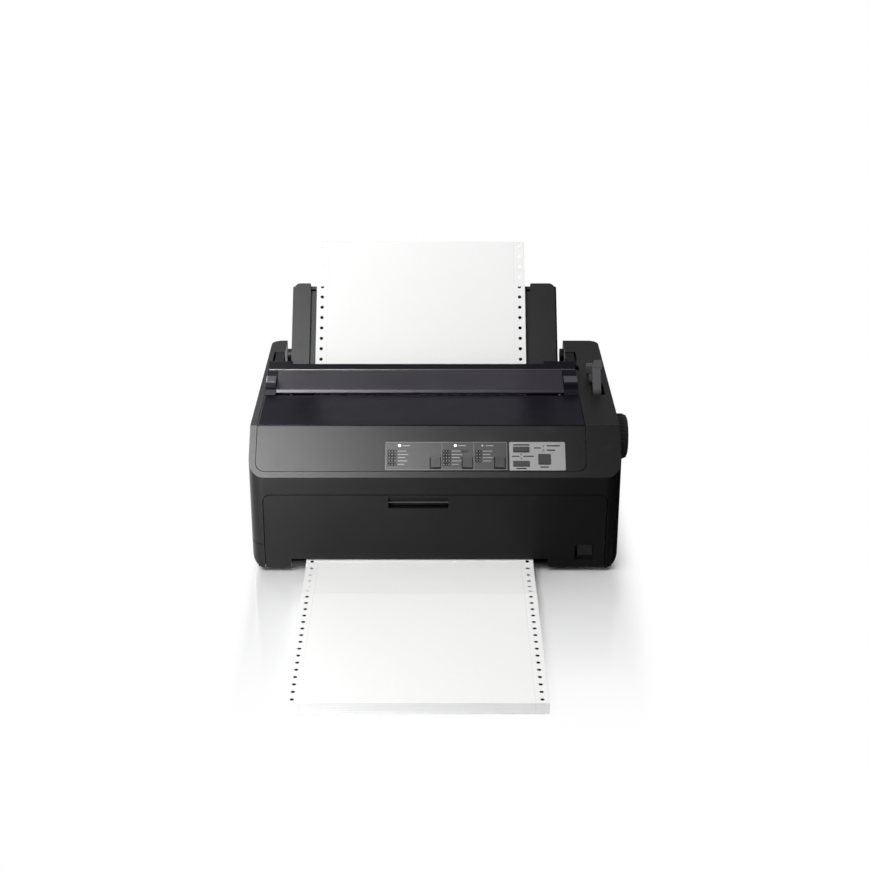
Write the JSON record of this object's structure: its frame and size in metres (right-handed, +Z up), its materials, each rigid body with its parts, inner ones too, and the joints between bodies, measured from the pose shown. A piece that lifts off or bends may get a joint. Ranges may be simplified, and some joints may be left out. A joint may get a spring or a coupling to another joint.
{
  "type": "dot matrix printer",
  "caption": "Desktop dot matrix printer with a sloping control panel, smoked hinged cover, side knob and fan-fold paper fed from a stack in front.",
  "frame": {"origin": "middle of the bounding box, on the desk", "axes": "+X to the right seen from the front, +Y to the back, +Z up"},
  "size_m": [0.41, 0.5766, 0.2731],
  "materials": {
    "case_plastic": "textured",
    "inner_plastic": "satin",
    "smoke_plastic": "polished",
    "grey_plastic": "satin",
    "label_film": "matte",
    "lamp_plastic": "polished",
    "white_plastic": "satin",
    "steel": "brushed",
    "rubber": "matte",
    "board": "satin",
    "motor_steel": "satin",
    "paper": "matte"
  },
  "bodies": {
    "case": {"lower_case": "case_plastic", "upper_case": "case_plastic", "control_panel": "case_plastic", "rubber_feet": "rubber", "base_plate": "steel", "left_side_frame": "steel", "right_side_frame": "steel", "paper_path_guide": "steel", "carriage_rod": "steel", "carriage_rail": "steel", "ribbon_cartridge": "inner_plastic", "tractor_support_rod": "steel", "main_board": "board", "power_supply": "board", "mains_inlet": "inner_plastic", "button_board": "board", "grey_label": "label_film", "panel_lamps": "lamp_plastic", "carriage_motor": "motor_steel", "paper_motor": "motor_steel", "rear_paper_guide": "case_plastic", "paper_stack": "paper", "paper_web": "paper", "carriage_belt": "rubber"},
    "front_cover": {"front_cover": "case_plastic"},
    "printer_cover": {"cover_frame": "case_plastic", "cover_window": "smoke_plastic"},
    "tear_off_flap": {"tear_off_flap": "smoke_plastic"},
    "platen": {"platen": "rubber", "platen_shaft": "steel", "platen_gear": "white_plastic", "platen_knob": "grey_plastic"},
    "motor_pinion": {"motor_pinion": "white_plastic"},
    "idler_gear": {"idler_gear": "white_plastic"},
    "tractor_shaft": {"tractor_shaft": "steel", "tractor_gear": "white_plastic"},
    "left_tractor": {"left_tractor": "inner_plastic"},
    "right_tractor": {"right_tractor": "inner_plastic"},
    "left_pin_wheel": {"left_pin_wheel": "white_plastic"},
    "right_pin_wheel": {"right_pin_wheel": "white_plastic"},
    "left_tractor_lid": {"left_tractor_lid": "inner_plastic"},
    "right_tractor_lid": {"right_tractor_lid": "inner_plastic"},
    "left_lock_lever": {"left_lock_lever": "white_plastic"},
    "right_lock_lever": {"right_lock_lever": "white_plastic"},
    "carriage": {"carriage": "inner_plastic", "print_head": "motor_steel"},
    "drive_pulley": {"drive_pulley": "white_plastic"},
    "idler_pulley": {"idler_pulley": "white_plastic"},
    "release_lever": {"release_lever": "grey_plastic"},
    "thickness_lever": {"thickness_lever": "grey_plastic"},
    "power_rocker": {"power_rocker": "case_plastic"},
    "left_edge_guide": {"left_edge_guide": "case_plastic"},
    "right_edge_guide": {"right_edge_guide": "case_plastic"},
    "ribbon_knob": {"ribbon_knob": "grey_plastic"},
    "left_square_button": {"left_square_button": "grey_plastic"},
    "middle_square_button": {"middle_square_button": "grey_plastic"},
    "right_square_button": {"right_square_button": "grey_plastic"},
    "rear_wide_button": {"rear_wide_button": "grey_plastic"},
    "front_wide_button": {"front_wide_button": "grey_plastic"},
    "end_square_button": {"end_square_button": "grey_plastic"}
  },
  "joints": [
    {"name": "front_cover_hinge", "type": "hinge", "parent": "case", "child": "front_cover", "pos_m": [-0.01, -0.0092, 0.0075], "axis": [1, 0, 0], "range_deg": [0, 70]},
    {"name": "printer_cover_hinge", "type": "hinge", "parent": "case", "child": "printer_cover", "pos_m": [-0.01, 0.2163, 0.143], "axis": [-1, 0, 0], "range_deg": [0, 55]},
    {"name": "flap_hinge", "type": "hinge", "parent": "printer_cover", "child": "tear_off_flap", "pos_m": [-0.01, 0.1213, 0.151], "axis": [1, 0, 0], "range_deg": [0, 100]},
    {"name": "platen_spin", "type": "hinge", "parent": "case", "child": "platen", "pos_m": [-0.01, 0.1273, 0.095], "axis": [1, 0, 0], "continuous": true, "deforming": ["paper_web"]},
    {"name": "idler_spin", "type": "hinge", "parent": "case", "child": "idler_gear", "pos_m": [-0.181, 0.097, 0.05585], "axis": [1, 0, 0], "continuous": true},
    {"name": "pinion_spin", "type": "hinge", "parent": "case", "child": "motor_pinion", "pos_m": [-0.181, 0.13643, 0.03747], "axis": [1, 0, 0], "continuous": true},
    {"name": "tractor_spin", "type": "hinge", "parent": "case", "child": "tractor_shaft", "pos_m": [-0.01, 0.0583, 0.036], "axis": [1, 0, 0], "continuous": true},
    {"name": "left_tractor_slide", "type": "slide", "parent": "case", "child": "left_tractor", "axis": [1, 0, 0], "range_m": [-0.012, 0.02]},
    {"name": "right_tractor_slide", "type": "slide", "parent": "case", "child": "right_tractor", "axis": [1, 0, 0], "range_m": [-0.04, 0.012]},
    {"name": "left_wheel_spin", "type": "hinge", "parent": "left_tractor", "child": "left_pin_wheel", "pos_m": [-0.1406, 0.0583, 0.036], "axis": [1, 0, 0], "continuous": true},
    {"name": "left_lid_hinge", "type": "hinge", "parent": "left_tractor", "child": "left_tractor_lid", "pos_m": [-0.1521, 0.05379, 0.04448], "axis": [0, -0.8829, -0.4695], "range_deg": [0, 90]},
    {"name": "left_lock_hinge", "type": "hinge", "parent": "left_tractor", "child": "left_lock_lever", "pos_m": [-0.1301, 0.04494, 0.03343], "axis": [1, 0, 0], "range_deg": [0, 30]},
    {"name": "right_wheel_spin", "type": "hinge", "parent": "right_tractor", "child": "right_pin_wheel", "pos_m": [0.088, 0.0583, 0.036], "axis": [1, 0, 0], "continuous": true},
    {"name": "right_lid_hinge", "type": "hinge", "parent": "right_tractor", "child": "right_tractor_lid", "pos_m": [0.0995, 0.05379, 0.04448], "axis": [0, 0.8829, 0.4695], "range_deg": [0, 90]},
    {"name": "right_lock_hinge", "type": "hinge", "parent": "right_tractor", "child": "right_lock_lever", "pos_m": [0.0775, 0.04494, 0.03343], "axis": [1, 0, 0], "range_deg": [0, 30]},
    {"name": "carriage_slide", "type": "slide", "parent": "case", "child": "carriage", "axis": [1, 0, 0], "range_m": [-0.1, 0.1]},
    {"name": "drive_pulley_spin", "type": "hinge", "parent": "case", "child": "drive_pulley", "pos_m": [-0.148, 0.0303, 0.084], "axis": [0, 1, 0], "continuous": true},
    {"name": "idler_pulley_spin", "type": "hinge", "parent": "case", "child": "idler_pulley", "pos_m": [0.106, 0.0303, 0.084], "axis": [0, 1, 0], "continuous": true},
    {"name": "release_lever_hinge", "type": "hinge", "parent": "case", "child": "release_lever", "pos_m": [0.168, 0.1333, 0.112], "axis": [-1, 0, 0], "range_deg": [-8, 12]},
    {"name": "thickness_lever_hinge", "type": "hinge", "parent": "case", "child": "thickness_lever", "pos_m": [0.167, 0.1643, 0.125], "axis": [-1, 0, 0], "range_deg": [-10, 14]},
    {"name": "power_rocker_hinge", "type": "hinge", "parent": "case", "child": "power_rocker", "pos_m": [0.1485, -0.0017, 0.022], "axis": [0, 0, 1], "range_deg": [-14, 0]},
    {"name": "left_square_button_slide", "type": "slide", "parent": "case", "child": "left_square_button", "axis": [0, 0.6772, -0.7358], "range_m": [0, 0.0008], "stiffness_N_per_m": 300, "springref_m": -0.001},
    {"name": "middle_square_button_slide", "type": "slide", "parent": "case", "child": "middle_square_button", "axis": [0, 0.6772, -0.7358], "range_m": [0, 0.0008], "stiffness_N_per_m": 300, "springref_m": -0.001},
    {"name": "right_square_button_slide", "type": "slide", "parent": "case", "child": "right_square_button", "axis": [0, 0.6772, -0.7358], "range_m": [0, 0.0008], "stiffness_N_per_m": 300, "springref_m": -0.001},
    {"name": "rear_wide_button_slide", "type": "slide", "parent": "case", "child": "rear_wide_button", "axis": [0, 0.6772, -0.7358], "range_m": [0, 0.0008], "stiffness_N_per_m": 300, "springref_m": -0.001},
    {"name": "front_wide_button_slide", "type": "slide", "parent": "case", "child": "front_wide_button", "axis": [0, 0.6772, -0.7358], "range_m": [0, 0.0008], "stiffness_N_per_m": 300, "springref_m": -0.001},
    {"name": "end_square_button_slide", "type": "slide", "parent": "case", "child": "end_square_button", "axis": [0, 0.6772, -0.7358], "range_m": [0, 0.0008], "stiffness_N_per_m": 300, "springref_m": -0.001},
    {"name": "left_edge_guide_slide", "type": "slide", "parent": "case", "child": "left_edge_guide", "axis": [1, 0, 0], "range_m": [0, 0.045]},
    {"name": "right_edge_guide_slide", "type": "slide", "parent": "case", "child": "right_edge_guide", "axis": [1, 0, 0], "range_m": [-0.045, 0]},
    {"name": "ribbon_knob_spin", "type": "hinge", "parent": "case", "child": "ribbon_knob", "pos_m": [-0.138, 0.0623, 0.14], "axis": [0, 0, 1], "continuous": true}
  ],
  "couplings": [
    {"joint": "idler_spin", "follows": "platen_spin", "ratio": -0.57143},
    {"joint": "pinion_spin", "follows": "platen_spin", "ratio": 1.5},
    {"joint": "tractor_spin", "follows": "platen_spin", "ratio": 1.5},
    {"joint": "left_wheel_spin", "follows": "platen_spin", "ratio": 1.5},
    {"joint": "right_wheel_spin", "follows": "platen_spin", "ratio": 1.5},
    {"joint": "drive_pulley_spin", "follows": "carriage_slide", "rad_per_m": -128.21},
    {"joint": "idler_pulley_spin", "follows": "carriage_slide", "rad_per_m": -128.21}
  ]
}
